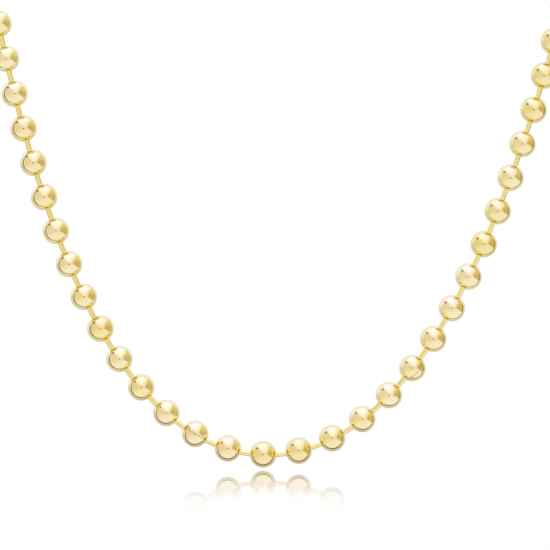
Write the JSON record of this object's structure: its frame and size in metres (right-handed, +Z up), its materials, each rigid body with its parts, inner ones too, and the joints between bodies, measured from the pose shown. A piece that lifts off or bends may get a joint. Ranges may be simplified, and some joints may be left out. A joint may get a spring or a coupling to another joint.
{
  "type": "ball chain necklace",
  "caption": "Closed ball chain necklace: hollow polished beads on short link bars with ball heads, joined by a sleeve connector at the nape. It hangs as worn, in a deep U.",
  "frame": {"origin": "where the middle of the connector rests on the back of the neck", "axes": "-Y from the nape to the front stretch of the chain, +Z up, +X across the neck; the loop is symmetric about X = 0"},
  "size_m": [0.1402, 0.0997, 0.1566],
  "materials": {
    "bead_gold": "pale gold plate over brass, polished to a mirror",
    "bar_gold": "pale gold plate over drawn brass wire, bright",
    "connector_gold": "pale gold plate over pressed brass sheet, polished"
  },
  "bodies": {
    "root": {"beads": "bead_gold", "bars": "bar_gold", "connector": "connector_gold"}
  },
  "joints": []
}
